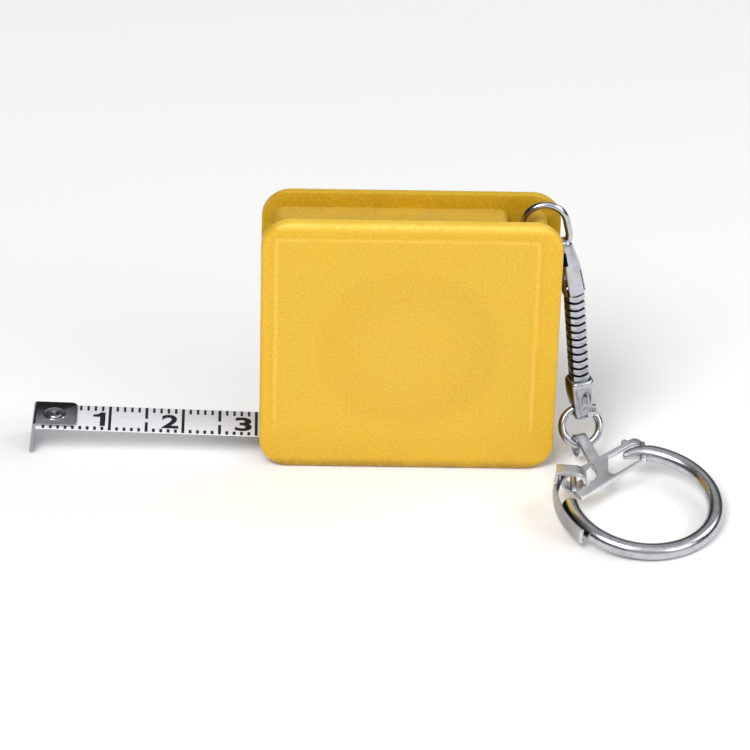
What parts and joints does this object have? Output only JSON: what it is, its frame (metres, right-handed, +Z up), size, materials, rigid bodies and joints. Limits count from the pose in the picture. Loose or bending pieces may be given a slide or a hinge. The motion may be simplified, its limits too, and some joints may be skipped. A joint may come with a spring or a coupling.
{
  "type": "keychain tape measure",
  "caption": "Small square keychain tape measure standing on its case, steel tape drawn out a little, snake chain with latch and round key ring beside it.",
  "frame": {"origin": "middle of the case's foot, halfway through its thickness", "axes": "+Z up, -Y the front plate, the tape leaves toward -X and the chain hangs at +X"},
  "size_m": [0.094, 0.0317, 0.0395],
  "materials": {
    "yellow_plastic": "frosted translucent",
    "drum_plastic": "smooth",
    "inner_steel": "plain",
    "tape_steel": "satin, printed",
    "hook_steel": "polished",
    "chain_chrome": "bright polished"
  },
  "bodies": {
    "case": {"front_shell": "yellow_plastic", "rear_shell": "yellow_plastic", "arbor": "inner_steel", "tape_run": "tape_steel"},
    "spool": {"spool_drum": "drum_plastic", "mainspring": "inner_steel", "tape_coil": "tape_steel"},
    "tape": {"tape_blade": "tape_steel", "end_hook": "hook_steel", "hook_rivet": "hook_steel"},
    "loop": {"wire_loop": "chain_chrome"},
    "upper_cap": {"top_end_cap": "chain_chrome", "snake_link_01": "chain_chrome"},
    "link_02": {"snake_link_02": "chain_chrome"},
    "link_03": {"snake_link_03": "chain_chrome"},
    "link_04": {"snake_link_04": "chain_chrome"},
    "link_05": {"snake_link_05": "chain_chrome"},
    "link_06": {"snake_link_06": "chain_chrome"},
    "link_07": {"snake_link_07": "chain_chrome"},
    "link_08": {"snake_link_08": "chain_chrome"},
    "link_09": {"snake_link_09": "chain_chrome"},
    "link_10": {"snake_link_10": "chain_chrome"},
    "link_11": {"snake_link_11": "chain_chrome"},
    "lower_cap": {"snake_link_12": "chain_chrome", "bottom_end_cap": "chain_chrome"},
    "jump": {"jump_ring": "chain_chrome"},
    "latch": {"latch_plate": "chain_chrome", "connector_strap": "chain_chrome"},
    "ring": {"key_ring": "chain_chrome"},
    "clasp": {"ring_clasp": "chain_chrome"}
  },
  "joints": [
    {"name": "tape_slide", "type": "slide", "parent": "case", "child": "tape", "axis": [-1, 0, 0], "range_m": [-0.03, 0.002]},
    {"name": "spool_spin", "type": "hinge", "parent": "case", "child": "spool", "pos_m": [0, 0, 0.0192], "axis": [0, 1, 0], "range_deg": [-142, 12]},
    {"name": "loop_swing", "type": "hinge", "parent": "case", "child": "loop", "pos_m": [0.01695, 0, 0.0351], "axis": [0, -1, 0], "range_deg": [-3, 70]},
    {"name": "cap_swing", "type": "hinge", "parent": "loop", "child": "upper_cap", "pos_m": [0.02041, 0, 0.03282], "axis": [0.5736, 0, 0.8192], "range_deg": [-20, 12]},
    {"name": "link_bend_01", "type": "hinge", "parent": "upper_cap", "child": "link_02", "pos_m": [0.02194, 0, 0.02607], "axis": [-0.3088, 0.9503, -0.0387], "range_deg": [-8, 3.5]},
    {"name": "link_bend_02", "type": "hinge", "parent": "link_02", "child": "link_03", "pos_m": [0.02205, -0.00001, 0.02492], "axis": [0.9458, 0.3111, 0.0934], "range_deg": [-8, 8]},
    {"name": "link_bend_03", "type": "hinge", "parent": "link_03", "child": "link_04", "pos_m": [0.02217, -0.00002, 0.02377], "axis": [0.3088, -0.9503, 0.0387], "range_deg": [-4, 8]},
    {"name": "link_bend_04", "type": "hinge", "parent": "link_04", "child": "link_05", "pos_m": [0.02229, -0.00003, 0.02262], "axis": [-0.9458, -0.3111, -0.0934], "range_deg": [-8, 8]},
    {"name": "link_bend_05", "type": "hinge", "parent": "link_05", "child": "link_06", "pos_m": [0.0224, -0.00003, 0.02147], "axis": [-0.3088, 0.9503, -0.0387], "range_deg": [-8, 4.5]},
    {"name": "link_bend_06", "type": "hinge", "parent": "link_06", "child": "link_07", "pos_m": [0.02252, -0.00004, 0.02032], "axis": [0.9458, 0.3111, 0.0934], "range_deg": [-8, 8]},
    {"name": "link_bend_07", "type": "hinge", "parent": "link_07", "child": "link_08", "pos_m": [0.02264, -0.00005, 0.01917], "axis": [0.3088, -0.9503, 0.0387], "range_deg": [-5, 8]},
    {"name": "link_bend_08", "type": "hinge", "parent": "link_08", "child": "link_09", "pos_m": [0.02275, -0.00006, 0.01802], "axis": [-0.9458, -0.3111, -0.0934], "range_deg": [-8, 8]},
    {"name": "link_bend_09", "type": "hinge", "parent": "link_09", "child": "link_10", "pos_m": [0.02287, -0.00007, 0.01687], "axis": [-0.3088, 0.9503, -0.0387], "range_deg": [-8, 6]},
    {"name": "link_bend_10", "type": "hinge", "parent": "link_10", "child": "link_11", "pos_m": [0.02298, -0.00008, 0.01572], "axis": [0.9458, 0.3111, 0.0934], "range_deg": [-8, 8]},
    {"name": "link_bend_11", "type": "hinge", "parent": "link_11", "child": "lower_cap", "pos_m": [0.0231, -0.00009, 0.01457], "axis": [0.3088, -0.9503, 0.0387], "range_deg": [-8, 8]},
    {"name": "jump_ring_swing", "type": "hinge", "parent": "lower_cap", "child": "jump", "pos_m": [0.02385, -0.00015, 0.00716], "axis": [1, 0, 0], "range_deg": [-30, 20]},
    {"name": "latch_swing", "type": "hinge", "parent": "jump", "child": "latch", "pos_m": [0.02385, -0.00291, 0.00287], "axis": [1, 0, 0], "range_deg": [-30, 20]},
    {"name": "ring_hinge", "type": "hinge", "parent": "latch", "child": "ring", "pos_m": [0.03213, -0.00599, 0.00388], "axis": [0.0084, 0.991, 0.1335], "range_deg": [0, 60]},
    {"name": "clasp_hinge", "type": "hinge", "parent": "latch", "child": "clasp", "pos_m": [0.02234, -0.0129, 0.00356], "axis": [0.0084, 0.991, 0.1335], "range_deg": [0, 35]}
  ],
  "couplings": [
    {"joint": "spool_spin", "follows": "tape_slide", "rad_per_m": 80.703}
  ]
}
